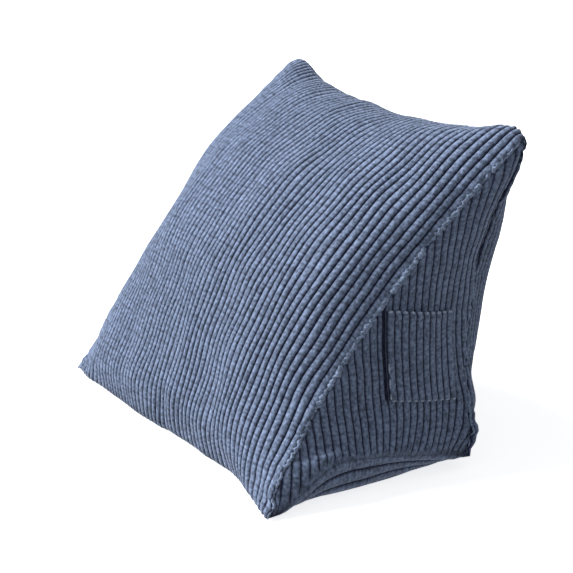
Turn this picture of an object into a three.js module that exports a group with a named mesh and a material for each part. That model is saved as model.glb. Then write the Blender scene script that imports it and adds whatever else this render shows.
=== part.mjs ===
// A stuffed wedge reading pillow in wide-wale corduroy, with a patch pocket on its right-hand end.
// Millimetres, +Z up. It rests on z = 0, its slope faces -Y and its width runs along X.
import * as THREE from "three";

// Ears: the stuffed corners where the wrap meets an end panel. At mid-width the edge between two ears
// runs sinkY and sinkZ away from them.
const EAR_SPAN = 440;
const EARS = {
  foot: { y: -132, z: 2, sinkY: 4, sinkZ: 3 },
  crest: { y: 138, z: 330, sinkY: -22, sinkZ: -12 },
  heel: { y: 88, z: 10, sinkY: 9, sinkZ: 2 },
};

// The wrap is one strip of cloth round the front, back and bottom. On each stretch the seam is drawn in
// along X and bowed out in its own plane, most at its peak, and the cloth at mid-width swells by the
// crowns given for a quarter, a half and three quarters of the stretch.
const PANELS = {
  front: { from: EARS.foot, to: EARS.crest, rows: 18, draw: 16, bow: 16, peak: 0.44, crowns: [48, 71, 56] },
  back: { from: EARS.crest, to: EARS.heel, rows: 13, draw: 37, bow: -1, peak: 0.5, crowns: [60, 62, 42] },
  bottom: { from: EARS.heel, to: EARS.foot, rows: 9, draw: 2, bow: -21, peak: 0.5, crowns: [32, 46, 32] },
};
const SECTION_SQUARENESS = 2.35; // powers of the section across the wrap: 2 and 2 give an ellipse
const SECTION_FULLNESS = 2.05;
const SETTLE = 8; // height over which the belly flattens on to the ground

// Corduroy ribs, two points to a rib
const WRAP_RIBS = 54;
const WRAP_RIB_HEIGHT = 3;
const END_RIB_PITCH = 8.2;
const END_RIB_HEIGHT = 2.4;

// End panels: their ribs are copies of one upright curve, bent least at its waist
const END_BULGE = 6;
const END_RIB_BEND = 1 / 2500;
const END_RIB_WAIST = 165;
const END_BAND = 8; // plain cloth between the ribs and a seam
const END_ROWS = 8;
const SHORTEST_RIB = 16;

// Patch pocket on the +X end: the rib lines at its two sides, and the heights of its foot there
const POCKET = {
  frontLine: -3,
  ribs: 10,
  frontFoot: 84,
  backFoot: 68,
  height: 90,
  rows: 9,
  thickness: 2,
  ribHeight: 2,
  gap: 0.5,
};

const CLOTH = { roughness: 0.95, metalness: 0 };
const CUSHION_COLOUR = 0x6b7893;
const POCKET_COLOUR = 0x5b667f;

const lerp = THREE.MathUtils.lerp;
const alongYZ = (a, b, t) => new THREE.Vector3(0, lerp(a.y, b.y, t), lerp(a.z, b.z, t));

// 0 at both ends and 1 at the peak
function swell(t, peak = 0.5) {
  const s = t ** (Math.log(0.5) / Math.log(peak));
  return 4 * s * (1 - s);
}

function outwardOf(panel) {
  const run = new THREE.Vector2(panel.to.y - panel.from.y, panel.to.z - panel.from.z).normalize();
  return new THREE.Vector3(0, -run.y, run.x);
}

// Seam of the +X end, at share t of a stretch
function seamPoint(panel, t) {
  const bulge = swell(t, panel.peak);
  const point = alongYZ(panel.from, panel.to, t).addScaledVector(outwardOf(panel), panel.bow * bulge);
  point.x = EAR_SPAN / 2 - panel.draw * bulge;
  return point;
}

// Closed profile of the wrap at mid-width
function middleProfile() {
  const sunk = (ear) => ({ y: ear.y + ear.sinkY, z: ear.z + ear.sinkZ });
  const points = Object.values(PANELS).flatMap((panel) => {
    const outward = outwardOf(panel);
    return [0, ...panel.crowns].map((crown, quarter) =>
      alongYZ(sunk(panel.from), sunk(panel.to), quarter / 4).addScaledVector(outward, crown),
    );
  });
  return new THREE.CatmullRomCurve3(points, true, "catmullrom");
}

// Weight flattens the belly: below -SETTLE it lies on the ground, above SETTLE it is untouched.
function settle(z) {
  if (z <= -SETTLE) return 0;
  return z >= SETTLE ? z : (z + SETTLE) ** 2 / (4 * SETTLE);
}

// One row of the wrap, from the -X seam over the middle to the +X seam
class WrapRow extends THREE.Curve {
  constructor(seam, middle) {
    super();
    this.seam = seam;
    this.middle = middle;
  }

  getPoint(t, target = new THREE.Vector3()) {
    const angle = Math.PI * (t - 0.5);
    const across = Math.sign(angle) * Math.abs(Math.sin(angle)) ** (2 / SECTION_SQUARENESS);
    const rise = Math.max(Math.cos(angle), 0) ** (2 / SECTION_FULLNESS);
    target.set(
      this.seam.x * across,
      lerp(this.seam.y, this.middle.y, rise),
      settle(lerp(this.seam.z, this.middle.z, rise)),
    );
    return target;
  }
}

function wrapRows() {
  const profile = middleProfile();
  const panels = Object.values(PANELS);
  return panels.flatMap((panel, number) =>
    Array.from({ length: panel.rows }, (_, row) => {
      const t = row / panel.rows;
      const middle = profile.getPoint((number + t) / panels.length);
      return new WrapRow(seamPoint(panel, t), middle).getSpacedPoints(2 * WRAP_RIBS);
    }),
  );
}

// Lifts every second point of the smooth rows to a rib's top, but not where the belly lies flat
function raiseRibs(rows) {
  return rows.map((row, i) =>
    row.map((point, k) => {
      if (k % 2 === 0) return point.clone();
      const before = rows[(i + rows.length - 1) % rows.length][k];
      const after = rows[(i + 1) % rows.length][k];
      const across = row[k + 1].clone().sub(row[k - 1]);
      const normal = across.cross(after.clone().sub(before)).normalize();
      const freed = THREE.MathUtils.clamp(point.z / SETTLE, 0, 1);
      const raised = point.clone().addScaledVector(normal, WRAP_RIB_HEIGHT * freed);
      raised.z = Math.max(raised.z, 0);
      return raised;
    }),
  );
}

// Seam of the front or the back at height z
function seamAtHeight(panel, z) {
  const rising = panel.to.z > panel.from.z;
  let low = 0;
  let high = 1;
  for (let step = 0; step < 24; step += 1) {
    const t = (low + high) / 2;
    if (seamPoint(panel, t).z < z === rising) low = t;
    else high = t;
  }
  return seamPoint(panel, (low + high) / 2);
}

// Cloth of the +X end, stretched level from the back seam to the front seam
function endPoint(y, z) {
  const back = seamAtHeight(PANELS.back, z);
  const front = seamAtHeight(PANELS.front, z);
  const share = THREE.MathUtils.clamp((back.y - y) / (back.y - front.y), 0, 1);
  return new THREE.Vector3(lerp(back.x, front.x, share) + END_BULGE * swell(share), y, z);
}

// Where the rib on a line of the end panel passes height z
const ribY = (line, z) => line + END_RIB_BEND * (z - END_RIB_WAIST) ** 2;

// Whether a point of the end panel is clear of all three seams by the plain band
function clearOfSeams(y, z) {
  const { front, back, bottom } = PANELS;
  const low = seamPoint(bottom, THREE.MathUtils.clamp((bottom.from.y - y) / (bottom.from.y - bottom.to.y), 0, 1));
  const slant = outwardOf(front).y;
  return (
    z - low.z > END_BAND &&
    seamAtHeight(back, z).y - y > END_BAND &&
    y - seamAtHeight(front, z).y > END_BAND / Math.abs(slant)
  );
}

// Ribbed middle of the end panel, as columns of points from the bottom up, from the front to the back
function endField() {
  const heights = Array.from({ length: EARS.crest.z }, (_, z) => z);
  const columns = [];
  for (let line = EARS.foot.y; line < EARS.crest.y; line += END_RIB_PITCH / 2) {
    const inside = heights.filter((z) => clearOfSeams(ribY(line, z), z));
    if (inside.length >= SHORTEST_RIB) columns.push({ line, low: inside[0], high: inside.at(-1) });
  }
  return columns.map(({ line, low, high }, column) =>
    Array.from({ length: END_ROWS + 1 }, (_, row) => {
      const z = lerp(low, high, row / END_ROWS);
      const point = endPoint(ribY(line, z), z);
      point.x += column % 2 === 1 ? END_RIB_HEIGHT : 0;
      return point;
    }),
  );
}

// Collects the points and triangles of one closed skin
class Skin {
  constructor() {
    this.points = [];
    this.faces = [];
  }

  addGrid(grid) {
    return grid.map((line) => line.map((point) => this.points.push(point) - 1));
  }

  quad(a, b, c, d) {
    this.faces.push(a, b, c, a, c, d);
  }

  // Quads between the lines of a grid, turned over when asked
  sheet(grid, turned = false) {
    for (let i = 0; i + 1 < grid.length; i += 1) {
      for (let k = 0; k + 1 < grid[i].length; k += 1) {
        const corners = [grid[i][k], grid[i][k + 1], grid[i + 1][k + 1], grid[i + 1][k]];
        this.quad(...(turned ? corners.reverse() : corners));
      }
    }
  }

  mesh(name, colour) {
    const geometry = new THREE.BufferGeometry().setFromPoints(this.points).setIndex(this.faces);
    geometry.computeVertexNormals();
    const mesh = new THREE.Mesh(geometry, new THREE.MeshStandardMaterial({ color: colour, ...CLOTH }));
    mesh.name = name;
    return mesh;
  }
}

// Points round the edge of a grid, once each
function rimOf(grid) {
  const last = grid.length - 1;
  const top = grid[0].length - 1;
  return [
    ...grid.map((line) => line[0]),
    ...grid[last].slice(1),
    ...grid.slice(0, last).reverse().map((line) => line[top]),
    ...grid[0].slice(1, top).reverse(),
  ];
}

// Closes one end of the wrap: the ribbed field, and a plain band from it to the seam
function addEnd(skin, seam, side) {
  const field = endField().map((column) => column.map((p) => new THREE.Vector3(side * p.x, p.y, p.z)));
  const grid = skin.addGrid(field);
  skin.sheet(grid, side > 0);
  const rim = rimOf(grid);
  const ring = [...seam, ...rim];
  const flat = (index) => new THREE.Vector2(skin.points[index].y, skin.points[index].z);
  const band = THREE.ShapeUtils.triangulateShape(seam.map(flat), [rim.map(flat)]);
  for (const corners of band) {
    const [a, b, c] = corners.map((corner) => ring[corner]);
    const turn = flat(b).sub(flat(a)).cross(flat(c).sub(flat(a)));
    skin.faces.push(a, ...(turn * side > 0 ? [b, c] : [c, b]));
  }
}

function makeCushion() {
  const skin = new Skin();
  const grid = skin.addGrid(raiseRibs(wrapRows()));
  skin.sheet([...grid, grid[0]]);
  addEnd(skin, grid.map((row) => row[2 * WRAP_RIBS]), 1);
  addEnd(skin, grid.map((row) => row[0]), -1);
  return skin.mesh("cushion", CUSHION_COLOUR);
}

// A ribbed patch that lies on the rib tops of the +X end
function makePocket() {
  const columns = 2 * POCKET.ribs;
  const place = (column, row, lift) => {
    const foot = lerp(POCKET.frontFoot, POCKET.backFoot, column / columns);
    const z = foot + (POCKET.height * row) / POCKET.rows;
    const point = endPoint(ribY(POCKET.frontLine + (column * END_RIB_PITCH) / 2, z), z);
    point.x += END_RIB_HEIGHT + POCKET.gap + lift;
    return point;
  };
  const face = (liftOf) =>
    Array.from({ length: columns + 1 }, (_, column) =>
      Array.from({ length: POCKET.rows + 1 }, (_, row) => place(column, row, liftOf(column))),
    );
  const skin = new Skin();
  const inner = skin.addGrid(face(() => 0));
  const outer = skin.addGrid(face((column) => POCKET.thickness + (column % 2) * POCKET.ribHeight));
  skin.sheet(outer, true);
  skin.sheet(inner);
  const innerRim = rimOf(inner);
  const outerRim = rimOf(outer);
  innerRim.forEach((corner, i) => {
    const next = (i + 1) % innerRim.length;
    skin.quad(corner, innerRim[next], outerRim[next], outerRim[i]);
  });
  return skin.mesh("side_pocket", POCKET_COLOUR);
}

const pillow = new THREE.Group();
pillow.name = "wedge_reading_pillow";
pillow.add(makeCushion(), makePocket());

export default pillow;
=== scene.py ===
"""A stuffed wedge reading pillow in wide-wale corduroy, with a patch pocket on its right-hand end."""

import functools
import math

import bpy
import numpy as np
from mathutils import Matrix, Vector
from mathutils.geometry import delaunay_2d_cdt


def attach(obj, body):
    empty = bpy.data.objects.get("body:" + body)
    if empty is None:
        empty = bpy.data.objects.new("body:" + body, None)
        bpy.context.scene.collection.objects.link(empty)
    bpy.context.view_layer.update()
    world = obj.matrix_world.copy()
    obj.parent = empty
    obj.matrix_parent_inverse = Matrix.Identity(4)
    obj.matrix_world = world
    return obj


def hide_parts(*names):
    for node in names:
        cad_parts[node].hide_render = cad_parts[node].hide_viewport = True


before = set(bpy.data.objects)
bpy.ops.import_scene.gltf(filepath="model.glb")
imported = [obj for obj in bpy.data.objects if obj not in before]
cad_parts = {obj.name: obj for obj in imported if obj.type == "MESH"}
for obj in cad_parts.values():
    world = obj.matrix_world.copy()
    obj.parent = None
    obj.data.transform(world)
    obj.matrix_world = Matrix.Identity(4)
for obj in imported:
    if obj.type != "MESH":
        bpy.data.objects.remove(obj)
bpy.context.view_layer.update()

bl_info = {
    "name": "Wedge reading pillow",
    "version": (1, 0, 0),
    "blender": (4, 5, 0),
    "location": "View3D > Sidebar > Pillow",
    "description": "Builds a stuffed corduroy wedge pillow with a patch pocket, and a studio for it",
    "category": "Object",
}

# The form, in metres. Ears are the stuffed corners, and the edge between two ears sinks at mid-width.
EARS = {
    "foot": {"y": -0.132, "z": 0.002, "sink_y": 0.004, "sink_z": 0.003},
    "crest": {"y": 0.138, "z": 0.330, "sink_y": -0.022, "sink_z": -0.012},
    "heel": {"y": 0.088, "z": 0.010, "sink_y": 0.009, "sink_z": 0.002},
}
# Stretches of the wrap in order. On each the seam is drawn in along X and bowed out in its own plane,
# and the cloth at mid-width swells by the crowns at a quarter, a half and three quarters of it.
PANELS = (
    {
        "start": "foot",
        "end": "crest",
        "draw": 0.016,
        "bow": 0.016,
        "peak": 0.44,
        "crowns": (0.048, 0.071, 0.056),
    },
    {
        "start": "crest",
        "end": "heel",
        "draw": 0.037,
        "bow": -0.001,
        "peak": 0.5,
        "crowns": (0.060, 0.062, 0.042),
    },
    {
        "start": "heel",
        "end": "foot",
        "draw": 0.002,
        "bow": -0.021,
        "peak": 0.5,
        "crowns": (0.032, 0.046, 0.032),
    },
)
FRONT, BACK, BOTTOM = PANELS
EAR_REACH = 0.045  # how far the folds of an ear carry along its seams
SQUARENESS = 2.35  # powers of the section across the wrap: 2 and 2 give an ellipse
FULLNESS = 2.05
SETTLE = 0.008  # height over which the belly flattens on to the ground
END_BULGE = 0.006
END_RIB_BEND = 0.4  # per metre: end ribs are copies of one upright curve
END_RIB_WAIST = 0.165
END_RIB_KNEE = 0.075  # below this height the end ribs bend forward, most behind the middle
END_RIB_KICKS = (2.8, 7.5)
KICK_START = -0.03  # rib line where the bend begins to grow, and the width it grows over
KICK_WIDTH = 0.06

# Local swellings and dents of the stuffing. A row holds its place, its push, and its reach, which is
# one distance or one along each axis.
SHAPING = (
    # crest: full blunt lobes at both ears, with the seam's end tucked in
    ((0.192, 0.121, 0.325), (0.002, 0.003, 0.010), 0.044),
    ((0.210, 0.136, 0.300), (0.005, 0.003, 0), 0.036),
    ((0.221, 0.139, 0.331), (-0.009, -0.004, -0.009), 0.013),
    ((0.110, 0.118, 0.318), (0, 0.001, 0.003), 0.045),
    ((0.196, 0.118, 0.302), (-0.003, 0.003, -0.004), 0.009),
    ((-0.165, 0.120, 0.322), (0.003, 0.004, 0.009), 0.050),
    ((-0.200, 0.128, 0.325), (0.003, 0.003, 0.004), 0.026),
    ((-0.221, 0.139, 0.331), (0.009, -0.003, -0.007), 0.014),
    ((-0.040, 0.118, 0.315), (0, 0.001, 0.003), 0.070),
    # foot: a round roll along the left, drawn up beside the right ear
    ((-0.190, -0.126, 0.006), (0, -0.014, 0), 0.050),
    ((-0.100, -0.126, 0.006), (0, -0.015, 0), 0.060),
    ((-0.020, -0.126, 0.006), (0, -0.009, 0), 0.050),
    ((0.060, -0.126, 0.006), (0, -0.003, 0), 0.040),
    ((0.120, -0.126, 0.006), (0, 0.003, 0), 0.035),
    ((-0.210, -0.125, 0.033), (0.007, 0.005, -0.001), 0.024),
    ((0.212, -0.128, 0.004), (0.010, -0.009, 0), 0.028),
    ((0.208, -0.065, 0.004), (0.010, 0, -0.003), 0.045),
    ((0.215, -0.040, 0.026), (0, 0, 0.010), (0.050, 0.070, 0.017)),
    ((0.215, -0.074, 0.026), (0, 0, 0.015), (0.050, 0.036, 0.018)),
    ((-0.150, -0.132, 0.006), (0.013, 0, 0), (0.055, 0.030, 0.024)),
    ((-0.070, -0.130, 0.006), (0.008, 0, 0), (0.050, 0.030, 0.024)),
    # heel: lifted ears and a puckered back edge
    ((0.214, 0.065, 0.008), (-0.001, 0, 0.003), 0.040),
    ((0.219, 0.092, 0.014), (-0.002, 0, 0.003), 0.020),
    ((0.211, 0.098, 0.032), (0.005, 0.006, 0), 0.018),
    ((0.195, 0.108, 0.058), (0.004, 0.005, 0), 0.024),
    ((0.179, 0.121, 0.082), (-0.001, -0.002, 0), 0.014),
    ((0.157, 0.147, 0.148), (-0.003, -0.004, 0), 0.026),
    ((0.185, 0.143, 0.255), (0.002, 0.002, 0), 0.070),
    ((-0.219, 0.090, 0.014), (-0.003, 0.003, 0.004), 0.030),
    # slope: hollow at the upper left, full at the lower left
    ((-0.165, -0.045, 0.185), (0.003, 0.003, -0.003), 0.060),
    ((-0.190, -0.095, 0.095), (-0.001, -0.002, 0.001), 0.040),
)
# Upper back seam, tucked in: how deep and how far from the seam, and where on the loop it rises and
# falls. The end panel's cloth in this fold also gets painted shade
TUCK = {"depth": 0.006, "reach": 0.005, "start": 1.0, "rise": 0.05, "end": 1.5, "fall": 0.15}
# Short folds that run in from the seams: depth, reach and distance apart, and how each fold varies
WRAP_FOLDS = {"depth": 0.0020, "reach": 0.017, "pitch": 0.012, "seed": 11}
END_FOLDS = {"depth": 0.0022, "reach": 0.012, "pitch": 0.012, "seed": 21}
FOLD_RANGES = {
    "place": (0.1, 0.9),
    "depth": (0.25, 1.0),
    "reach": (0.35, 1.3),
    "width": (0.0024, 0.0048),
    "slant": (-0.5, 0.5),
}
FOLD_SPREAD = 0.08  # how a fold widens away from its seam
FOLD_DEEPER = 1.5  # at the ears
FOLDS_FROM_SEAM = 0.15  # cloth further from the seam has no folds
# Soft random waves in the cloth: size, wavelength and seed
RIB_DRIFT = {"size": 0.0017, "wave": 0.075, "seed": 6, "held": 0.02}
WRAP_LUMPS = {"size": 0.0012, "wave": 0.11, "seed": 3}
END_LUMPS = {"size": 0.0010, "wave": 0.07, "seed": 4}
RIB_LUMPS = {"size": 0.14, "wave": 6.0, "seed": 5, "across": 1.7, "along": 60}

# Fine grid of the wrap: rows on each stretch, and places of the columns across one rib
FINE_ROWS = (108, 80, 54)
RIB_STEPS = (0.0, 0.10, 0.24, 0.5, 0.76, 0.90)
RIB_ROUNDNESS = 2.3
SECTION_STEPS = 181  # points that trace one row, an end's edges and its bottom edge
EDGE_STEPS = 400
BOTTOM_STEPS = 200
END_STEP = 0.005
END_LOWEST = 0.003  # height of the lowest points of an end panel
END_LINES = 30  # end ribs on each side of the pocket's front edge
END_MARGIN = 0.0030  # ribbed points of an end panel keep this far from its seam
SEAM_RINGS = (0.0009, 0.0022)  # distances from a seam of the plain points beside it
# Coarse cage that the stuffing is blown up in: rows on the front and the back, rows below, columns
CAGE_ROWS = 40
CAGE_FOOT_ROWS = 22
CAGE_COLUMNS = 50
CAGE_FRAMES = 22
CAGE_CLOTH = {
    "quality": 6,
    "mass": 0.3,
    "tension_stiffness": 12,
    "compression_stiffness": 12,
    "shear_stiffness": 4,
    "bending_stiffness": 0.25,
    "use_pressure": True,
    "uniform_pressure_force": 4,
    "shrink_min": -0.014,
    "vertex_group_mass": "seam",
}
PUSH_BLURS = 4
WRAP_REACH = 0.009  # furthest that the stuffing pushes the wrap, and an end panel
END_REACH = 0.004

GROOVES_LIT_LEFT = 0.22  # painted light: how far the painted groove shade is thinned on the left half of the wrap, where the light from the left and the grazing view wash the grooves out
GROOVES_LIT_FROM = 0.10  # X where that begins, and the width it grows over
GROOVES_LIT_WIDTH = 0.22
END_DASH = 0.55  # strength of the cross lines on the end panels and the pocket
BOTTOM_FOLDS = 0.25  # depth of the folds at the bottom seam, against the others
LEAST_RELIEF = 0.1  # height of the ribs that lie on the ground, against the others
SEAM_PILE = 0.75  # look of the wrap's last groove at the bottom seam, and the share it fades over
SEAM_PILE_FADE = 0.1
# Band beside a seam where the end ribs fade, at the bottom and elsewhere, and the shadow of the welt
FADE_BOTTOM = 0.0018
FADE_ELSEWHERE = 0.0015
FADE_START = 0.4
WELT_SHADOW = {"reach": 0.0026, "pile": 0.3}
POCKET = {
    "line": -0.003,
    "ribs": 10,
    "front_foot": 0.086,
    "back_foot": 0.070,
    "height": 0.088,
    "relief": 0.0020,
    "round_edge": 0.0034,
    "hem_height": 0.009,
    "hem_cloth": 0.0007,
    "gap": 0.0004,
    "rim": 0.0006,
    "first_rib": 100,
}
# Ditches in the end panel beside the pocket, flat and in the groove colour as painted shade of the
# pocket's edges: their middle from the pocket's edge, and half their width
FRONT_DITCH = {"place": -0.0012, "half": 0.0016}
BACK_DITCH = {"place": 0.0004, "half": 0.0007}
DITCH_BELOW = 0.002  # how far the ditches pass the foot, and stop short of the mouth
DITCH_SHORT = 0.001
# Ridge along a seam: steps along it, its place on the seam, and its knots, waves and sway
WELT = {
    "step": 0.0013,
    "sides": 10,
    "lean": 0.8,
    "lift": 0.0018,
    "inset": 0.0006,
    "back": 0.62,
    "tucked": 0.5,
    "ear": 0.75,
    "lowest": 0.0003,
}
WELT_KNOTS = {"size": 0.30, "wave": 0.0040, "seed": 31, "round": 0.0016}
WELT_WAVES = {"size": 0.22, "wave": 0.021, "seed": 41}
WELT_SWAY = {"size": 0.0010, "wave": 0.010, "seed": 51}
WELT_RANGE = (0.35, 1.9)
# Bars of thread on the pocket: height above the cloth and radius, at the hem, the foot and the front edge
HEM_BAR = (0.0022, 0.0017)
FOOT_BAR = (0.0008, 0.0009)
EDGE_BAR = (0.0002, 0.0010)
BAR_SIDES = 6
# Studio: places and sizes in metres
FLOOR_HALF = 6
KEY_PLACE = (-1.1, -1.2, 1.4)
KEY_ANGLE = math.radians(45)
FILL_PLACE = (2.2, 0.4, 1.1)
FILL_SIZE = 1.2
LIGHT_AIM = (0, 0, 0.15)
SKY_COLOUR = (0.95, 0.97, 1.0, 1)
SENSOR_WIDTH = 36  # millimetres


def metres(name, description, default):
    return bpy.props.FloatProperty(name=name, description=description, default=default, unit="LENGTH")


def paint(name, description, default):
    return bpy.props.FloatVectorProperty(
        name=name, description=description, default=default, subtype="COLOR", min=0, max=1
    )


def position(name, description, default):
    return bpy.props.FloatVectorProperty(
        name=name, description=description, default=default, subtype="TRANSLATION"
    )


class PillowSizes(bpy.types.PropertyGroup):
    """Sizes of the cushion, its ribs and its pocket"""

    ear_span: metres("Ear span", "Width from ear to ear", 0.440)
    wrap_ribs: bpy.props.IntProperty(
        name="Wrap ribs", description="Corduroy ribs across the wrap", default=54
    )
    wrap_relief: metres("Wrap relief", "Height of a rib on the wrap", 0.0032)
    end_pitch: metres("End rib pitch", "Distance between ribs on an end panel", 0.0082)
    end_relief: metres("End relief", "Height of a rib on an end panel", 0.0024)
    welt_radius: metres("Welt radius", "Half the thickness of the seam's ridge", 0.0029)
    pocket_cloth: metres("Pocket cloth", "Thickness of the pocket's cloth under its ribs", 0.0018)


class PillowFinish(bpy.types.PropertyGroup):
    """Colours of the cloth and the thread"""

    pile: paint("Pile", "Colour of the ribs", (0.172, 0.222, 0.338))
    # groove: partly the ground weave's own colour, partly painted shade that darkens the grooves far
    # below the pile
    groove: paint("Groove", "Colour between the ribs", (0.024, 0.031, 0.070))
    # welt: lighter than the cloth partly for its rubbed, crushed pile and partly as a painted highlight
    # on the ridge
    welt: paint("Welt", "Colour of the rubbed seam ridge", (0.330, 0.420, 0.610))
    thread: paint("Thread", "Colour of the pocket's thread", (0.560, 0.660, 0.860))


class PillowStudio(bpy.types.PropertyGroup):
    """Camera and light"""

    camera_place: position("Camera", "Where the camera stands", (1.417, -0.790, 0.6615))
    camera_aim: position("Aim", "What the camera looks at", (0.0129, 0.0, 0.1422))
    camera_roll: bpy.props.FloatProperty(
        name="Roll",
        description="Turn of the camera about its axis",
        default=math.radians(0.4665),
        subtype="ANGLE",
    )
    lens: bpy.props.FloatProperty(name="Lens", description="Focal length in millimetres", default=102.9)
    key_strength: bpy.props.FloatProperty(
        name="Key", description="Strength of the main light from the upper left", default=5.3
    )
    fill_power: bpy.props.FloatProperty(
        name="Fill", description="Power of the light from the right", default=1.0, unit="POWER"
    )
    sky: bpy.props.FloatProperty(name="Sky", description="Strength of the even light", default=0.32)


def lerp(start, end, share):
    return start + (end - start) * share


def unit(vectors):
    return vectors / np.linalg.norm(vectors, axis=-1, keepdims=True)


def distances(points, axis=0):
    """How far each point is along its line, or along its row or column of a grid"""
    steps = np.linalg.norm(np.diff(points, axis=axis), axis=-1)
    return np.insert(np.cumsum(steps, axis=axis), 0, 0, axis=axis)


def swell(share, peak=0.5):
    """0 at both ends and 1 at the peak"""
    bent = np.power(share, math.log(0.5) / math.log(peak))
    return 4 * bent * (1 - bent)


def outward(panel):
    start, end = EARS[panel["start"]], EARS[panel["end"]]
    run = unit(np.array([end["y"] - start["y"], end["z"] - start["z"]]))
    return np.array([-run[1], run[0]])


def seam_points(panel, share, span):
    """Seam of the +X end at shares of a stretch"""
    start, end = EARS[panel["start"]], EARS[panel["end"]]
    bulge = swell(share, panel["peak"])
    out = outward(panel) * panel["bow"]
    x = span / 2 - panel["draw"] * bulge
    y = lerp(start["y"], end["y"], share) + out[0] * bulge
    z = lerp(start["z"], end["z"], share) + out[1] * bulge
    return np.stack((x, y, z), axis=-1)


def seam_line(loop, span):
    """Seam of the +X end at places of the loop: 0 at the foot, 1 at the crest, 2 at the heel"""
    points = np.empty((len(loop), 3))
    for number, panel in enumerate(PANELS):
        chosen = np.floor(loop) == number
        points[chosen] = seam_points(panel, loop[chosen] - number, span)
    return points


def middle_line(loop):
    """Profile of the wrap at mid-width: a closed smooth curve through four points a stretch"""
    knots = []
    for panel in PANELS:
        start, end = EARS[panel["start"]], EARS[panel["end"]]
        for quarter, crown in enumerate((0, *panel["crowns"])):
            y = lerp(start["y"] + start["sink_y"], end["y"] + end["sink_y"], quarter / 4)
            z = lerp(start["z"] + start["sink_z"], end["z"] + end["sink_z"], quarter / 4)
            knots.append(np.array([y, z]) + outward(panel) * crown)
    knots = np.array(knots)
    place = loop * 4
    first = np.floor(place).astype(int)
    weights = cubic_weights(place - first)
    return sum(weights[:, i, None] * knots[(first + i - 1) % len(knots)] for i in range(4))


def cubic_weights(share):
    """Weights of the four neighbours of a place on a smooth curve through them"""
    t = np.asarray(share)
    return 0.5 * np.stack(
        (
            -t + 2 * t**2 - t**3,
            2 - 5 * t**2 + 3 * t**3,
            t + 4 * t**2 - 3 * t**3,
            -(t**2) + t**3,
        ),
        axis=-1,
    )


def settle(z):
    """Weight flattens the belly on to the ground"""
    return np.where(z <= -SETTLE, 0, np.where(z >= SETTLE, z, (z + SETTLE) ** 2 / (4 * SETTLE)))


def wrap_rows(loop, shares, span):
    """Smooth wrap: rows at places of the loop, each from the -X seam to the +X seam by cloth shares"""
    seam, middle = seam_line(loop, span), middle_line(loop)
    turn = np.linspace(-math.pi / 2, math.pi / 2, SECTION_STEPS)
    across = np.sign(turn) * np.abs(np.sin(turn)) ** (2 / SQUARENESS)
    rise = np.clip(np.cos(turn), 0, 1) ** (2 / FULLNESS)
    x = seam[:, :1] * across
    y = lerp(seam[:, 1:2], middle[:, :1], rise)
    z = settle(lerp(seam[:, 2:3], middle[:, 1:2], rise))
    traced = np.stack((x, y, z), axis=-1)
    length = distances(traced, axis=1)
    rows = np.empty((len(loop), len(shares), 3))
    for i, row in enumerate(traced):
        for axis in range(3):
            rows[i, :, axis] = np.interp(shares * length[i, -1], length[i], row[:, axis])
    return rows


def end_edges(z, span):
    """Back and front seams of the +X end at heights z"""
    share = np.linspace(0, 1, EDGE_STEPS)
    front, back = seam_points(FRONT, share, span), seam_points(BACK, share, span)[::-1]
    return [[np.interp(z, edge[:, 2], edge[:, axis]) for axis in (0, 1)] for edge in (back, front)]


def end_base(y, z, span):
    """Depth X of the smooth +X end, stretched level from the back seam to the front seam"""
    (back_x, back_y), (front_x, front_y) = end_edges(z, span)
    share = np.clip((back_y - y) / np.maximum(back_y - front_y, 1e-6), 0, 1)
    return lerp(back_x, front_x, share) + END_BULGE * swell(share)


def bottom_seam_z(y, span):
    line = seam_points(BOTTOM, np.linspace(0, 1, BOTTOM_STEPS), span)[::-1]
    return np.interp(y, line[:, 1], line[:, 2])


def rib_profile(phase):
    """Height of the pile across a rib, 0 in the groove and 1 on its top"""
    from_groove = 0.5 - np.abs(np.mod(phase, 1) - 0.5)
    return np.sqrt(1 - (1 - 2 * from_groove) ** RIB_ROUNDNESS)


def end_rib_y(line, z):
    """Where the end rib that starts on a line passes height z"""
    behind = np.clip((line - KICK_START) / KICK_WIDTH, 0, 1)
    kick = lerp(*END_RIB_KICKS, behind) * np.maximum(END_RIB_KNEE - z, 0) ** 2
    return line + END_RIB_BEND * (z - END_RIB_WAIST) ** 2 - kick


def end_rib_line(y, z):
    """The line of the end rib that passes a place"""
    line = y
    for _ in range(4):
        line = y - (end_rib_y(line, z) - line)
    return line


def lumps(points, kind, side=0):
    """Soft random waves of one kind at points, each side with its own"""
    draws = np.random.default_rng(kind["seed"] + side)
    waves = 9
    directions = unit(draws.normal(size=(waves, 3)))
    directions *= 2 * math.pi / kind["wave"] * draws.uniform(0.7, 1.5, size=(waves, 1))
    phases = draws.uniform(0, 2 * math.pi, waves)
    return kind["size"] * np.sin(points @ directions.T + phases).sum(axis=-1) / math.sqrt(waves)


def shaped(points):
    """Points moved by the local swellings and dents"""
    moved = points.copy()
    for place, push, reach in SHAPING:
        away = np.linalg.norm((points - np.array(place)) / np.array(reach), axis=-1)
        moved += np.exp(-(away**2))[..., None] * np.array(push)
    return moved


def tucked(loop):
    """1 where the back seam is tucked in, fading below"""
    rising = np.clip((loop - TUCK["start"]) / TUCK["rise"], 0, 1)
    return rising * np.clip((TUCK["end"] - loop) / TUCK["fall"], 0, 1)


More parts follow.
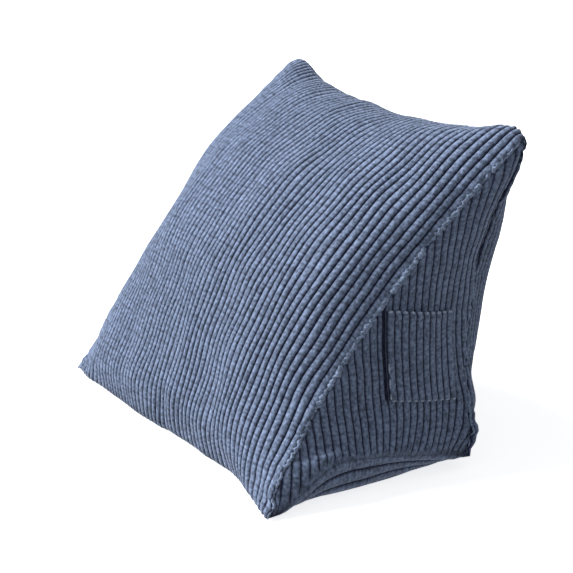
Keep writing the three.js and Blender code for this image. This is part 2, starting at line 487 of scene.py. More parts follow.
class Creases:
    """Short folds that run in from a seam, in metres along the seam and away from it"""

    def __init__(self, length, folds, side):
        draws = np.random.default_rng(folds["seed"] + side)
        count = int(length / folds["pitch"])
        drawn = {key: draws.uniform(*limits, count) for key, limits in FOLD_RANGES.items()}
        self.place = (np.arange(count) + drawn["place"]) * length / count
        self.depth = folds["depth"] * drawn["depth"] ** 1.5
        self.reach = folds["reach"] * drawn["reach"]
        self.width = drawn["width"]
        self.slant = drawn["slant"]

    def drop(self, along, away, ear):
        """How far the cloth dips, deeper by the share ear near a corner"""
        total = np.zeros(np.broadcast(along, away).shape)
        folds = zip(self.place, self.depth, self.reach, self.width, self.slant)
        for place, depth, reach, width, slant in folds:
            across = (along - place - slant * away) / (width + FOLD_SPREAD * away)
            total += depth * np.exp(-(across**2) - away / (reach * (1 + ear)))
        return total * (1 + FOLD_DEEPER * ear)


class Stuffing:
    """How far the stuffing pushes the cloth out, from a blown-up cage whose seams are held"""

    def __init__(self, span):
        self.loop = np.concatenate(
            (
                np.arange(CAGE_ROWS) / CAGE_ROWS,
                1 + np.arange(CAGE_ROWS) / CAGE_ROWS,
                2 + np.arange(CAGE_FOOT_ROWS) / CAGE_FOOT_ROWS,
            )
        )
        self.shares = np.linspace(0, 1, CAGE_COLUMNS + 1)
        self.wrap = wrap_rows(self.loop, self.shares, span)
        self.end_points = {}
        self.end_indices = {}
        points = [self.wrap.reshape(-1, 3)]
        rows, columns = self.wrap.shape[:2]
        numbers = np.arange(rows * columns).reshape(rows, columns)
        self.faces = grid_faces(numbers, closed=True)
        count = rows * columns
        for side in (1, -1):
            grid, inner = self.end_grid(numbers[:, -1 if side > 0 else 0], side, span, count)
            points.append(inner)
            self.end_points[side] = inner[:, 1:]
            self.end_indices[side] = np.arange(count, count + len(inner))
            count += len(inner)
            self.add_end_faces(grid, side)
        self.points = np.concatenate(points)
        self.held = np.concatenate((numbers[:, 0], numbers[:, -1]))
        moved = self.blow_up()
        push = moved[: rows * columns].reshape(rows, columns, 3)
        for _ in range(PUSH_BLURS):
            push = 0.25 * np.roll(push, 1, axis=0) + 0.5 * push + 0.25 * np.roll(push, -1, axis=0)
        self.wrap_push = push
        self.end_push = {side: moved[self.end_indices[side], 0] for side in (1, -1)}

    def end_grid(self, seam, side, span, first):
        """Numbers of an end panel's points in rows from the bottom seam up, and its inner points"""
        front = seam_points(FRONT, np.arange(CAGE_ROWS + 1) / CAGE_ROWS, span)
        back = seam_points(BACK, np.arange(CAGE_ROWS + 1) / CAGE_ROWS, span)[::-1]
        bottom = seam_points(BOTTOM, np.arange(CAGE_FOOT_ROWS + 1) / CAGE_FOOT_ROWS, span)
        share = np.arange(CAGE_FOOT_ROWS + 1) / CAGE_FOOT_ROWS
        bow = bottom - lerp(bottom[:1], bottom[-1:], share[:, None])
        grid = np.empty((CAGE_ROWS, CAGE_FOOT_ROWS + 1), dtype=int)
        grid[0, :-1] = seam[2 * CAGE_ROWS :]
        grid[:, -1] = seam[:CAGE_ROWS]
        grid[1:, 0] = seam[CAGE_ROWS + 1 : 2 * CAGE_ROWS][::-1]
        inner = []
        for row in range(1, CAGE_ROWS):
            fading = (1 - row / CAGE_ROWS) ** 2
            line = lerp(back[row], front[row], share[:, None]) + bow * fading
            line[:, 0] = side * end_base(line[:, 1], line[:, 2], span)
            grid[row, 1:-1] = first + len(inner) + np.arange(CAGE_FOOT_ROWS - 1)
            inner.extend(line[1:-1])
        self.apex = seam[CAGE_ROWS]
        return grid, np.array(inner)

    def add_end_faces(self, grid, side):
        self.faces += grid_faces(grid, turned=side > 0)
        for left, right in zip(grid[-1, :-1], grid[-1, 1:]):
            face = (left, right, self.apex)
            self.faces.append(face[::-1] if side > 0 else face)

    def blow_up(self):
        """Runs the cloth with its seams held, and returns how far each point of the cage moved"""
        mesh = bpy.data.meshes.new("cage")
        mesh.from_pydata(self.points.tolist(), [], [tuple(int(n) for n in face) for face in self.faces])
        cage = bpy.data.objects.new("cage", mesh)
        bpy.context.scene.collection.objects.link(cage)
        seam = cage.vertex_groups.new(name="seam")
        seam.add([int(n) for n in self.held], 1.0, "REPLACE")
        cloth = cage.modifiers.new("stuffing", "CLOTH")
        for key, value in CAGE_CLOTH.items():
            setattr(cloth.settings, key, value)
        cloth.settings.effector_weights.gravity = 0
        cloth.collision_settings.use_collision = False
        cloth.point_cache.frame_start = 1
        cloth.point_cache.frame_end = CAGE_FRAMES
        scene = bpy.context.scene
        for number in range(1, CAGE_FRAMES + 1):
            scene.frame_set(number)
        blown = cage.evaluated_get(bpy.context.evaluated_depsgraph_get()).to_mesh()
        after = np.empty(len(self.points) * 3)
        blown.vertices.foreach_get("co", after)
        scene.frame_set(1)
        bpy.data.objects.remove(cage)
        bpy.data.meshes.remove(mesh)
        return after.reshape(-1, 3) - self.points

    def on_wrap(self, loop, shares):
        """The push at places of the fine wrap, no more than its reach"""
        rows, columns = self.wrap.shape[:2]
        down = np.zeros((len(loop), rows))
        places = np.interp(loop, np.append(self.loop, 3), np.arange(rows + 1))
        first = np.floor(places).astype(int)
        for i, weight in enumerate(cubic_weights(places - first).T):
            down[np.arange(len(loop)), (first + i - 1) % rows] += weight
        across = np.zeros((len(shares), columns))
        places = np.clip(shares * CAGE_COLUMNS, 0, CAGE_COLUMNS - 1e-9)
        first = np.floor(places).astype(int)
        for i, weight in enumerate(cubic_weights(places - first).T):
            np.add.at(across, (np.arange(len(shares)), np.clip(first + i - 1, 0, columns - 1)), weight)
        push = np.einsum("ab,bcd,ec->aed", down, self.wrap_push, across)
        length = np.linalg.norm(push, axis=-1, keepdims=True)
        return push * WRAP_REACH / np.maximum(WRAP_REACH + length, 1e-9)

    def on_end(self, side, y, z):
        """The push along X at places of an end panel, no more than its reach"""
        known, push = self.end_points[side], self.end_push[side]
        blur = 0.007
        total = np.full(np.shape(y), 1e-9)
        value = np.zeros(np.shape(y))
        for (known_y, known_z), amount in zip(known, push):
            weight = np.exp(-((y - known_y) ** 2 + (z - known_z) ** 2) / (2 * blur**2))
            total += weight
            value += weight * amount
        value /= total
        return value * END_REACH / (END_REACH + np.abs(value))


class PillowSkin:
    """The finished outside of the cushion: the ribbed wrap, its two seams and its two end panels"""

    def __init__(self, sizes):
        self.span = sizes.ear_span
        self.pitch = sizes.end_pitch
        self.end_relief = sizes.end_relief
        self.stuffing = Stuffing(self.span)
        self.make_wrap(sizes)

    def make_wrap(self, sizes):
        front, back, bottom = (np.arange(count) / count for count in FINE_ROWS)
        loop = np.concatenate((front, 1 + back, 2 + bottom))
        start = len(front) + len(back) + len(bottom) // 2
        loop = np.roll(loop, -start)
        ribs = sizes.wrap_ribs
        rib = np.append((np.arange(ribs)[:, None] + np.array(RIB_STEPS)).ravel(), ribs)
        shares = rib / ribs
        skin = wrap_rows(loop, shares, self.span) + self.stuffing.on_wrap(loop, shares)
        along, across = distances(skin, axis=0), distances(skin, axis=1)
        held = np.clip(np.minimum(across, across[:, -1:] - across) / RIB_DRIFT["held"], 0, 1)
        skin[..., 0] += held * lumps(skin, RIB_DRIFT)
        normal = self.normals(skin)
        skin += normal * lumps(skin, WRAP_LUMPS)[..., None]
        self.seam_along = {1: along[:, -1], -1: along[:, 0]}
        self.ear_share = self.near_ears(loop)
        calm = np.where(loop < 2, 1, BOTTOM_FOLDS)
        for side in (1, -1):
            away = across[:, -1:] - across if side > 0 else across
            folds = Creases(self.seam_along[side][-1], WRAP_FOLDS, side)
            close = away.min(axis=0) < FOLDS_FROM_SEAM
            drop = folds.drop(self.seam_along[side][:, None], away[:, close], self.ear_share[:, None])
            skin[:, close] -= normal[:, close] * (drop * calm[:, None])[..., None]
        self.plain_seam = {1: skin[:, -1].copy(), -1: skin[:, 0].copy()}
        skin = shaped(skin)
        free = np.clip(skin[..., 2] / SETTLE, LEAST_RELIEF, 1)
        places = np.broadcast_arrays(rib * RIB_LUMPS["across"], along * RIB_LUMPS["along"], 0 * along)
        uneven = 1 + lumps(np.stack(places, -1), RIB_LUMPS)
        pile = np.broadcast_to(rib_profile(rib), along.shape).copy()
        from_ear = np.minimum(loop - 2, 3 - loop) / SEAM_PILE_FADE
        pile[:, [0, -1]] = SEAM_PILE * np.clip(from_ear, 0, 1)[:, None]
        skin += self.normals(skin) * (sizes.wrap_relief * pile * free * uneven)[..., None]
        skin[..., 2] = np.maximum(skin[..., 2], 0)
        # Painted light: the grooves' colour is lifted towards the pile colour on the left of the wrap
        lit_grooves = GROOVES_LIT_LEFT * np.clip((GROOVES_LIT_FROM - skin[..., 0]) / GROOVES_LIT_WIDTH, 0, 1)
        self.wrap, self.rib, self.along = skin, np.broadcast_to(rib, along.shape), along
        self.pile = lerp(pile, 1, lit_grooves)
        self.loop = loop
        self.seam = {1: skin[:, -1], -1: skin[:, 0]}

    def normals(self, grid):
        down = np.roll(grid, -1, axis=0) - np.roll(grid, 1, axis=0)
        across = np.gradient(grid, axis=1)
        normal = np.cross(across, down)
        return normal / np.maximum(np.linalg.norm(normal, axis=-1, keepdims=True), 1e-12)

    def near_ears(self, loop):
        """1 at the ears, fading over the stretches beside them"""
        seam = seam_line(loop, self.span)
        total = np.zeros(len(loop))
        for ear in EARS.values():
            total += np.exp(-np.hypot(seam[:, 1] - ear["y"], seam[:, 2] - ear["z"]) / EAR_REACH)
        return np.clip(total, 0, 1)

    def end_skin(self, side, y, z):
        """An end panel under its ribs: depth X, distance to the seam, and the seam's place on the loop"""
        x = side * end_base(y, z, self.span) + self.stuffing.on_end(side, y, z)
        x += lumps(np.stack((x, y, z), axis=-1), END_LUMPS)
        seam = self.plain_seam[side]
        gaps = np.hypot(y[:, None] - seam[None, :, 1], z[:, None] - seam[None, :, 2])
        nearest = gaps.argmin(axis=1)
        away = gaps[np.arange(len(y)), nearest]
        folds = Creases(self.seam_along[side][-1], END_FOLDS, side)
        drop = folds.drop(self.seam_along[side][nearest], away, self.ear_share[nearest])
        loop = self.loop[nearest]
        drop *= np.where(loop < 2, 1, BOTTOM_FOLDS)
        drop += TUCK["depth"] * tucked(loop) * np.exp(-away / TUCK["reach"])
        return x - side * drop, away, loop

    def seam_rings(self, side):
        """Places on an end panel just inside its seam"""
        seam = self.plain_seam[side][:, 1:]
        run = unit(np.roll(seam, -1, axis=0) - np.roll(seam, 1, axis=0))
        inward = np.stack((run[:, 1], -run[:, 0]), axis=-1)
        middle = seam.mean(axis=0)
        facing = np.sign(((middle - seam) * inward).sum(axis=1).sum())
        return np.concatenate([seam + facing * inward * away for away in SEAM_RINGS])

    def end_field(self, side):
        """Points of an end panel inside its seam: places, rib number, pile height with painted shade
        beside the seams and the pocket, share of ribbing
        """
        heights = np.arange(END_LOWEST, EARS["crest"]["z"], END_STEP)
        ribs = np.arange(-END_LINES, END_LINES)[:, None] + np.array(RIB_STEPS)
        lines = POCKET["line"] + ribs.ravel() * self.pitch
        y = end_rib_y(lines[:, None], heights[None, :]).ravel()
        z = np.broadcast_to(heights, (len(lines), len(heights))).ravel()
        ribbed = self.inside_seam(side, y, z, END_MARGIN)
        rings = self.seam_rings(side)
        edged = self.inside_seam(side, rings[:, 0], rings[:, 1], 0.8 * SEAM_RINGS[0])
        y = np.concatenate((rings[edged, 0], y[ribbed]))
        z = np.concatenate((rings[edged, 1], z[ribbed]))
        line = end_rib_line(y, z)
        rib = (line - POCKET["line"]) / self.pitch
        x, away, loop = self.end_skin(side, y, z)
        band = np.where(loop >= 2, FADE_BOTTOM, FADE_ELSEWHERE)
        fade = np.clip((away - FADE_START * band) / band, 0, 1)
        pile = rib_profile(rib)
        # Ditches beside the pocket: flattened, and dark as painted shade
        if side > 0:
            pile = pile * (1 - self.beside_pocket(line, z))
        raised = np.stack((x + side * self.end_relief * pile * fade, y, z), axis=-1)
        # Painted shade: beside the front and back seams the pile value drops towards the groove colour as
        # the welt's shadow, and the fold of the tucked upper back seam is darkened
        shade = np.where((loop < 2) & (away < WELT_SHADOW["reach"]), WELT_SHADOW["pile"], 1)
        pile = lerp(shade, pile, fade) * (1 - tucked(loop) * np.exp(-((away / TUCK["reach"]) ** 2)))
        return raised, rib, pile, fade * END_DASH

    def beside_pocket(self, line, z):
        """1 in the ditches along the pocket's front and back edges, where the ribs are flattened and take
        the groove colour as painted shade
        """
        width = POCKET["ribs"] * self.pitch
        across = (line - POCKET["line"]) / width
        foot = lerp(POCKET["front_foot"], POCKET["back_foot"], across)
        up = (z > foot - DITCH_BELOW) & (z < foot + POCKET["height"] - DITCH_SHORT)
        before = np.abs(across * width - FRONT_DITCH["place"]) < FRONT_DITCH["half"]
        behind = np.abs((across - 1) * width - BACK_DITCH["place"]) < BACK_DITCH["half"]
        return ((before | behind) & up).astype(float)

    def inside_seam(self, side, y, z, margin):
        (_, back_y), (_, front_y) = end_edges(z, self.span)
        inside = (y > front_y) & (y < back_y) & (z > bottom_seam_z(y, self.span))
        seam = self.plain_seam[side]
        for start in range(0, len(y), 4000):
            part = slice(start, start + 4000)
            gaps = np.hypot(y[part, None] - seam[None, :, 1], z[part, None] - seam[None, :, 2])
            inside[part] &= gaps.min(axis=1) > margin
        return inside


@functools.cache
def pillow_skin():
    return PillowSkin(bpy.context.scene.pillow_sizes)


class Term:
    """A shader socket that takes part in Python sums"""

    def __init__(self, recipe, socket):
        self.recipe = recipe
        self.socket = socket

    def maths(self, operation, *terms):
        return self.recipe.node("ShaderNodeMath", {"operation": operation}, dict(enumerate(terms)))

    def __add__(self, other):
        return self.maths("ADD", self, other)

    __radd__ = __add__

    def __sub__(self, other):
        return self.maths("SUBTRACT", self, other)

    def __rsub__(self, other):
        return self.maths("SUBTRACT", other, self)

    def __mul__(self, other):
        return self.maths("MULTIPLY", self, other)

    __rmul__ = __mul__

    def __mod__(self, other):
        return self.maths("FLOORED_MODULO", self, other)

    def __floor__(self):
        return self.maths("FLOOR", self)

    def __abs__(self):
        return self.maths("ABSOLUTE", self)


class Recipe:
    """A material and the nodes that it is made of"""

    def __init__(self, name):
        self.material = bpy.data.materials.new(name)
        self.material.use_nodes = True
        self.tree = self.material.node_tree
        self.tree.nodes.clear()

    def node(self, kind, settings, sockets, output=0):
        """Adds a node, sets its settings, then its sockets, and returns one of its outputs"""
        made = self.tree.nodes.new(kind)
        for name, value in settings.items():
            setattr(made, name, value)
        for name, value in sockets.items():
            if isinstance(value, Term):
                self.tree.links.new(value.socket, made.inputs[name])
            else:
                made.inputs[name].default_value = value
        return Term(self, made.outputs[output]) if made.outputs else None

    def attribute(self, name):
        return self.node("ShaderNodeAttribute", {"attribute_name": name}, {}, "Fac")

    def place(self):
        return self.node("ShaderNodeTexCoord", {}, {}, "Object")

    def noise(self, scale, detail=2.0):
        sockets = {"Vector": self.place(), "Scale": scale, "Detail": detail}
        return self.node("ShaderNodeTexNoise", {}, sockets, "Fac")

    def smooth(self, value, low, high):
        """0 below low and 1 above high, smooth between"""
        settings = {"interpolation_type": "SMOOTHSTEP"}
        sockets = {"Value": value, "From Min": low, "From Max": high}
        return self.node("ShaderNodeMapRange", settings, sockets)

    def mix(self, share, first, second, blend="MIX"):
        settings = {"data_type": "RGBA", "blend_type": blend}
        return self.node("ShaderNodeMix", settings, {0: share, 6: first, 7: second}, 2)

    def grey(self, value):
        return self.node("ShaderNodeCombineColor", {}, {"Red": value, "Green": value, "Blue": value})

    def finish(self, colour, roughness, height, distance, constants):
        bump = self.node("ShaderNodeBump", {}, {"Height": height, "Strength": 0.7, "Distance": distance})
        sockets = {"Base Color": colour, "Roughness": roughness, "Normal": bump, **constants}
        surface = self.node("ShaderNodeBsdfPrincipled", {}, sockets)
        self.node("ShaderNodeOutputMaterial", {}, {"Surface": surface})
        return self.material


NAP = {
    "Sheen Weight": 0.5,
    "Sheen Roughness": 0.4,
    "Sheen Tint": (0.72, 0.80, 1.0, 1.0),
    "Specular IOR Level": 0.15,
}


def opaque(colour):
    return (*colour, 1.0)


@functools.cache
def corduroy():
    """Ribbed pile: grooves darkened with painted shade, faint cross breaks on every rib and a soft nap"""
    finish = bpy.context.scene.pillow_finish
    recipe = Recipe("corduroy")
    rib, along, pile, ribbed = (recipe.attribute(name) for name in ("rib", "along", "pile", "ribbed"))
    settings = {"noise_dimensions": "1D"}
    shift = recipe.node("ShaderNodeTexWhiteNoise", settings, {"W": math.floor(rib)}, "Value")
    place = along * 0.95 + shift * 0.06 + recipe.noise(22.0) * 0.8
    coarse = abs(place % 1.0 - 0.5) * 2.0
    fine = abs((place * 2.0) % 1.0 - 0.5) * 2.0
    dash = (0.6 * recipe.smooth(coarse, 0.50, 1.0) + 0.4 * recipe.smooth(fine, 0.45, 1.0)) * ribbed
    flecks = recipe.smooth(recipe.noise(300.0, 3.0), 0.33, 0.67)
    fibres = recipe.noise(1300.0, 3.0)
    patches = recipe.noise(9.0)
    blotches = recipe.smooth(recipe.noise(75.0, 2.0), 0.3, 0.7)
    # Painted shade: colour runs from the pile colour on the rib tops down to the dark groove colour, by
    # pile height
    depth = recipe.smooth(pile - 0.10 * dash, 0.30, 0.96)
    base = recipe.mix(depth, opaque(finish.groove), opaque(finish.pile))
    tone = (0.25 + 0.74 * flecks + 0.36 * fibres + 0.24 * patches + 0.20 * blotches) * (1 - 0.26 * dash)
    colour = recipe.mix(1.0, base, recipe.grey(tone), "MULTIPLY")
    height = flecks * 0.5 + fibres * 0.35 - dash * 0.4
    return recipe.finish(colour, 0.82 + 0.12 * patches, height, 0.0010, NAP)


@functools.cache
def rubbed_and_highlit_cloth():
    """The seam's ridge, frayed, and lighter than the cloth partly for its rubbed, crushed pile and partly
    as a painted highlight
    """
    finish = bpy.context.scene.pillow_finish
    recipe = Recipe("rubbed_and_highlit_cloth")
    fray = recipe.noise(420.0, 4.0)
    fibres = recipe.noise(1600.0, 2.0)
    # Painted highlight in part: fray patches mix the light welt colour with a darker share of it
    shade = opaque([0.45 * part for part in finish.welt])
    base = recipe.mix(recipe.smooth(fray, 0.36, 0.58), shade, opaque(finish.welt))
    colour = recipe.mix(1.0, base, recipe.grey(0.75 + 0.45 * fibres), "MULTIPLY")
    return recipe.finish(colour, 0.84 + 0.1 * fray, fray + 0.3 * fibres, 0.0016, NAP)


@functools.cache
def sewing_thread():
    """Twisted thread of the pocket's stitches"""
    finish = bpy.context.scene.pillow_finish
    recipe = Recipe("sewing_thread")
    twist = recipe.noise(900.0, 2.0)
    shade = opaque([0.55 * part for part in finish.thread])
    colour = recipe.mix(recipe.smooth(twist, 0.35, 0.65), shade, opaque(finish.thread))
    return recipe.finish(colour, 0.6 + 0.2 * twist, twist, 0.0006, NAP)


@functools.cache
def pale_floor():
    recipe = Recipe("pale_floor")
    grain = recipe.noise(14.0, 3.0)
    colour = recipe.mix(grain, (0.86, 0.86, 0.86, 1), (0.90, 0.90, 0.90, 1))
    glow = {"Specular IOR Level": 0.1, "Emission Color": (1, 1, 1, 1), "Emission Strength": 0.75}
    return recipe.finish(colour, 0.85 + 0.08 * grain, grain, 0.0002, glow)


def make_object(name, points, faces, material, values=None):
    """A smooth mesh object, with values at its points for the material"""
    mesh = bpy.data.meshes.new(name)
    mesh.from_pydata(points.tolist(), [], faces)
    mesh.validate()
    mesh.shade_smooth()
    for key, numbers in (values or {}).items():
        attribute = mesh.attributes.new(key, "FLOAT", "POINT")
        attribute.data.foreach_set("value", np.asarray(numbers, dtype=np.float32))
    mesh.materials.append(material)
    made = bpy.data.objects.new(name, mesh)
    bpy.context.scene.collection.objects.link(made)
    return made


def grid_faces(numbers, closed=False, turned=False):
    """Quads between the rows of a grid of point numbers"""
    rows = np.concatenate((numbers, numbers[:1])) if closed else numbers
    corners = (rows[:-1, :-1], rows[:-1, 1:], rows[1:, 1:], rows[1:, :-1])
    quads = np.stack(corners, axis=-1).reshape(-1, 4)
    return (quads[:, ::-1] if turned else quads).tolist()


def end_faces(seam, seam_numbers, field, first, side):
    """Triangles of an end panel between its seam and its ribbed points, joined along the ribs"""
    every = np.concatenate((seam, field))
    lines = end_rib_line(every[:, 1], every[:, 2])
    squash = 0.5
    flat = [Vector((line, squash * z)) for line, z in zip(lines, every[:, 2])]
    outline = list(range(len(seam)))
    made = delaunay_2d_cdt(flat, [], [outline], 1, 1e-7)
    places, triangles, origins = made[0], made[2], made[3]
    numbers = []
    for place, origin in zip(places, origins):
        if not origin:
            raise RuntimeError("the end panel's seam crosses itself")
        past_seam = origin[0] - len(seam)
        numbers.append(int(seam_numbers[origin[0]]) if past_seam < 0 else first + past_seam)
    faces = []
    for a, b, c in triangles:
        turn = (places[b] - places[a]).cross(places[c] - places[a])
        ordered = (a, b, c) if turn * side > 0 else (a, c, b)
        faces.append(tuple(numbers[corner] for corner in ordered))
    return faces


def spread(places, length, values):
    """Values along a line, read at other places on it"""
    if values.ndim == 1:
        return np.interp(places, length, values)
    return np.stack([np.interp(places, length, column) for column in values.T], axis=-1)


def tube(path, out, radius, sides):
    """Points and faces of a ridge along a path, capped at both ends"""
    run = unit(np.gradient(path, axis=0))
    side = unit(np.cross(run, out))
    up = np.cross(side, run)
    turn = np.linspace(0, 2 * math.pi, sides, endpoint=False)
    ring = np.cos(turn)[None, :, None] * side[:, None] + np.sin(turn)[None, :, None] * up[:, None]
    points = path[:, None] + ring * radius[..., None]
    numbers = np.arange(len(path) * sides).reshape(len(path), sides)
    caps = [tuple(numbers[0].tolist()), tuple(numbers[-1, ::-1].tolist())]
    numbers = np.concatenate((numbers, numbers[:, :1]), axis=1)
    return points.reshape(-1, 3), grid_faces(numbers, turned=True) + caps


def joined(parts):
    """Points and faces of several meshes as those of one"""
    points, faces = [], []
    for part_points, part_faces in parts:
        first = sum(len(earlier) for earlier in points)
        points.append(part_points)
        faces += [tuple(corner + first for corner in face) for face in part_faces]
    return np.concatenate(points), faces


class PILLOW_OT_cushion(bpy.types.Operator):
    """Build the stuffed, ribbed cushion"""

    bl_idname = "pillow.cushion"
    bl_label = "Cushion"

    def execute(self, context):
        skin = pillow_skin()
        rows, columns = skin.along.shape
        numbers = np.arange(rows * columns).reshape(rows, columns)
        faces = grid_faces(numbers, closed=True)
        points = [skin.wrap.reshape(-1, 3)]
        values = {
            "rib": [skin.rib.ravel()],
            "along": [skin.along.ravel() / skin.pitch],
            "pile": [skin.pile.ravel()],
            "ribbed": [np.ones(rows * columns)],
        }
        first = rows * columns
        for side, column in ((1, -1), (-1, 0)):
            field, rib, pile, ribbed = skin.end_field(side)
            faces += end_faces(skin.plain_seam[side], numbers[:, column], field, first, side)
            field = shaped(field)
            points.append(field)
            for key, value in zip(values, (rib, field[:, 2] / skin.pitch, pile, ribbed)):
                values[key].append(value)
            first += len(field)
        values = {key: np.concatenate(parts) for key, parts in values.items()}
        cushion = make_object("stuffed_cushion", np.concatenate(points), faces, corduroy(), values)
        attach(cushion, "root")
        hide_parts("cushion")
        return {"FINISHED"}


class PILLOW_OT_welts(bpy.types.Operator):
    """Build the frayed ridges along the end seams"""

    bl_idname = "pillow.welts"
    bl_label = "Seam welts"

    def execute(self, context):
        skin = pillow_skin()
        radius = context.scene.pillow_sizes.welt_radius
        tubes = []
        order = np.argsort(skin.loop)
        order = order[skin.loop[order] <= 2]
        normals = skin.normals(skin.wrap)
        for side in (1, -1):
            seam = skin.seam[side][order]
            length = distances(seam)
            places = np.arange(0, length[-1], WELT["step"])
            normal = normals[order, -3 if side > 0 else 2]
            out = unit(spread(places, length, normal) + np.array([WELT["lean"] * side, 0, 0]))
            behind = WELT["back"] - WELT["tucked"] * tucked(skin.loop[order])
            thin = np.where(skin.loop[order] < 1, 1.0, behind)
            thin = spread(places, length, thin * (1 - WELT["ear"] * skin.ear_share[order]))[:, None]
            sides = WELT["sides"]
            along = np.broadcast_to(places[:, None], (len(places), sides))
            round_it = np.broadcast_to(np.arange(sides)[None, :] * WELT_KNOTS["round"], along.shape)
            knots = lumps(np.stack((along, round_it, 0 * along), -1), WELT_KNOTS, side)
            waves = lumps(np.stack((along, 0 * along, 0 * along), -1), WELT_WAVES, side)
            thick = radius * thin * np.clip(1 + knots + waves, *WELT_RANGE)
            sway = lumps(np.stack((places, 0 * places, 0 * places), -1), WELT_SWAY, side)
            path = spread(places, length, seam) + out * WELT["lift"] * thin
            path[:, 0] += sway - WELT["inset"] * side
            tube_points, tube_faces = tube(path, out, thick, sides)
            tube_points[:, 2] = np.maximum(tube_points[:, 2], WELT["lowest"])
            tubes.append((tube_points, tube_faces))
        welts = make_object("seam_welts", *joined(tubes), rubbed_and_highlit_cloth())
        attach(welts, "root")
        return {"FINISHED"}


def pocket_grid(skin, lines, drops):
    """Places on the +X end under the pocket: columns on rib lines, rows as heights above its foot"""
    across = (lines - POCKET["line"]) / (POCKET["ribs"] * skin.pitch)
    foot = lerp(POCKET["front_foot"], POCKET["back_foot"], across)
    z = foot[:, None] + drops[None, :]
    y = end_rib_y(lines[:, None], z)
    x = skin.end_skin(1, y.ravel(), z.ravel())[0].reshape(y.shape)
    return np.stack((x + skin.end_relief + POCKET["gap"], y, z), axis=-1)


class PILLOW_OT_pocket(bpy.types.Operator):
    """Build the patch pocket with its hem and its stitches"""

    bl_idname = "pillow.pocket"
    bl_label = "Patch pocket"

    def execute(self, context):
        skin = pillow_skin()
        sizes = context.scene.pillow_sizes
        height, ribs = POCKET["height"], POCKET["ribs"]
        rib = np.append((np.arange(ribs)[:, None] + np.array(RIB_STEPS)).ravel(), ribs)
        edge = np.array([0, 0.0005, 0.0012, 0.0022, POCKET["round_edge"]])
        inside = np.arange(1.5 * END_STEP, height - 1.2 * END_STEP, END_STEP)
        drops = np.concatenate((edge, inside, (height - edge)[::-1]))
        inner = pocket_grid(skin, POCKET["line"] + rib * skin.pitch, drops)
        from_edge = np.minimum(drops, height - drops)
        rounding = np.sqrt(1 - (1 - np.clip(from_edge / POCKET["round_edge"], 0, 1)) ** 2)
        hem = np.where(height - drops < POCKET["hem_height"], POCKET["hem_cloth"], 0)
        pile = np.broadcast_to(rib_profile(rib)[:, None], inner.shape[:2])
        relief = POCKET["relief"] * pile * rounding[None, :]
        outer = inner.copy()
        cloth = (sizes.pocket_cloth + hem[None, :]) * rounding[None, :]
        outer[..., 0] += POCKET["rim"] + cloth + relief
        shape = inner.shape[:2]
        numbers = np.arange(inner.shape[0] * inner.shape[1]).reshape(shape)
        faces = grid_faces(numbers + numbers.size, turned=True) + grid_faces(numbers)
        sides = (numbers[:, 0], numbers[-1, 1:], numbers[-2::-1, -1], numbers[0, -2:0:-1])
        rim = np.concatenate(sides)
        for a, b in zip(rim, np.roll(rim, -1)):
            faces.append((int(a), int(b), int(b) + numbers.size, int(a) + numbers.size))
        points = np.concatenate((inner.reshape(-1, 3), outer.reshape(-1, 3)))
        grid_rib = np.broadcast_to(rib[:, None], shape).ravel()
        values = {
            "rib": np.tile(grid_rib + POCKET["first_rib"], 2),
            "along": np.tile((inner[..., 2] / skin.pitch).ravel(), 2),
            "pile": np.tile(pile.ravel(), 2),
            "ribbed": np.full(2 * numbers.size, END_DASH),
        }
        pocket = make_object("patch_pocket", points, faces, corduroy(), values)
        stitches = self.make_stitches(outer, drops)
        for piece in (pocket, stitches):
            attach(piece, "root")
        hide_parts("side_pocket")
        return {"FINISHED"}

    def make_stitches(self, outer, drops):
        """Short bars of thread over each rib at the hem and the foot, and up the lower front edge"""
        steps = len(RIB_STEPS)
        bars = []
        for row, size in ((len(drops) - 1, HEM_BAR), (1, FOOT_BAR)):
            for rib in range(POCKET["ribs"]):
                bars.append((outer[rib * steps + 2 : rib * steps + 5, row], size))
        for row in range(3, len(drops) // 2, 3):
            bars.append((outer[1, row : row + 3], EDGE_BAR))
        tubes = []
        for places, (lift, radius) in bars:
            bar = places + np.array([lift, 0, 0])
            out = np.broadcast_to(np.array([1.0, 0, 0]), bar.shape)
            thick = np.broadcast_to(radius * np.array([[0.5], [1.0], [0.5]]), (len(bar), BAR_SIDES))
            tubes.append(tube(bar, out, thick, BAR_SIDES))
        return make_object("pocket_stitches", *joined(tubes), sewing_thread())


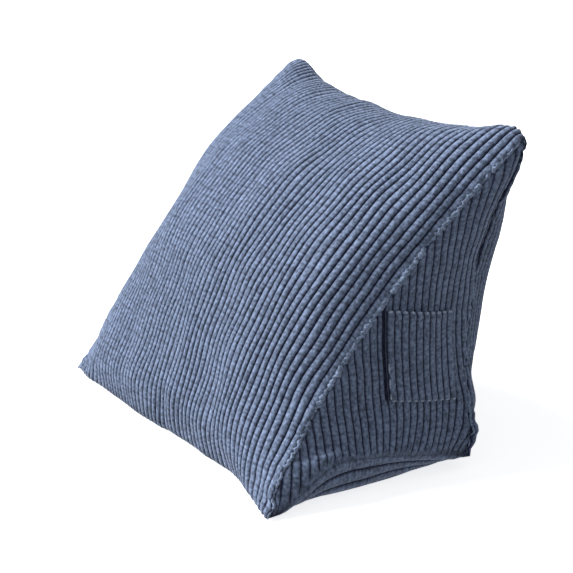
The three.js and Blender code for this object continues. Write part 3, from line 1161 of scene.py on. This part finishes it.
class PILLOW_OT_stage(bpy.types.Operator):
    """Build the floor, the lights and the camera"""

    bl_idname = "pillow.stage"
    bl_label = "Stage"

    def execute(self, context):
        studio = context.scene.pillow_studio
        floor_points = FLOOR_HALF * np.array([(-1.0, -1, 0), (1, -1, 0), (1, 1, 0), (-1, 1, 0)])
        floor = make_object("floor", floor_points, [(0, 1, 2, 3)], pale_floor())
        floor.visible_diffuse = False
        key = self.add_light("key_light", "SUN", KEY_PLACE, studio.key_strength)
        key.angle = KEY_ANGLE
        fill = self.add_light("fill_light", "AREA", FILL_PLACE, studio.fill_power)
        fill.size = FILL_SIZE
        world = bpy.data.worlds.new("even_sky")
        world.use_nodes = True
        sky = world.node_tree.nodes["Background"]
        sky.inputs["Color"].default_value = SKY_COLOUR
        sky.inputs["Strength"].default_value = studio.sky
        context.scene.world = world
        context.scene.view_settings.view_transform = "Standard"
        camera = bpy.data.objects.new("camera", bpy.data.cameras.new("camera"))
        camera.data.lens = studio.lens
        camera.data.sensor_width = SENSOR_WIDTH
        camera.location = studio.camera_place
        look = Vector(studio.camera_aim) - Vector(studio.camera_place)
        turn = look.to_track_quat("-Z", "Y").to_matrix()
        turn = turn @ Matrix.Rotation(studio.camera_roll, 3, "Z")
        camera.rotation_euler = turn.to_euler()
        context.scene.collection.objects.link(camera)
        context.scene.camera = camera
        return {"FINISHED"}

    def add_light(self, name, kind, place, power):
        lamp = bpy.data.lights.new(name, kind)
        lamp.energy = power
        light = bpy.data.objects.new(name, lamp)
        light.location = place
        aim = Vector(LIGHT_AIM) - Vector(place)
        light.rotation_euler = aim.to_track_quat("-Z", "Y").to_euler()
        bpy.context.scene.collection.objects.link(light)
        return lamp


class PILLOW_PT_panel(bpy.types.Panel):
    """Lists what builds the pillow"""

    bl_idname = "PILLOW_PT_panel"
    bl_label = "Wedge reading pillow"
    bl_space_type = "VIEW_3D"
    bl_region_type = "UI"
    bl_category = "Pillow"

    def draw(self, context):
        scene = context.scene
        for group in (scene.pillow_sizes, scene.pillow_finish, scene.pillow_studio):
            box = self.layout.box()
            for key in group.__annotations__:
                box.prop(group, key)
        for operator in (PILLOW_OT_cushion, PILLOW_OT_welts, PILLOW_OT_pocket, PILLOW_OT_stage):
            self.layout.operator(operator.bl_idname)


CLASSES = (
    PillowSizes,
    PillowFinish,
    PillowStudio,
    PILLOW_OT_cushion,
    PILLOW_OT_welts,
    PILLOW_OT_pocket,
    PILLOW_OT_stage,
    PILLOW_PT_panel,
)


def register():
    for made in CLASSES:
        bpy.utils.register_class(made)
    bpy.types.Scene.pillow_sizes = bpy.props.PointerProperty(type=PillowSizes)
    bpy.types.Scene.pillow_finish = bpy.props.PointerProperty(type=PillowFinish)
    bpy.types.Scene.pillow_studio = bpy.props.PointerProperty(type=PillowStudio)


def unregister():
    del bpy.types.Scene.pillow_studio
    del bpy.types.Scene.pillow_finish
    del bpy.types.Scene.pillow_sizes
    for made in reversed(CLASSES):
        bpy.utils.unregister_class(made)


def main():
    register()
    bpy.ops.pillow.cushion()
    bpy.ops.pillow.welts()
    bpy.ops.pillow.pocket()
    bpy.ops.pillow.stage()


if __name__ == "__main__":
    main()
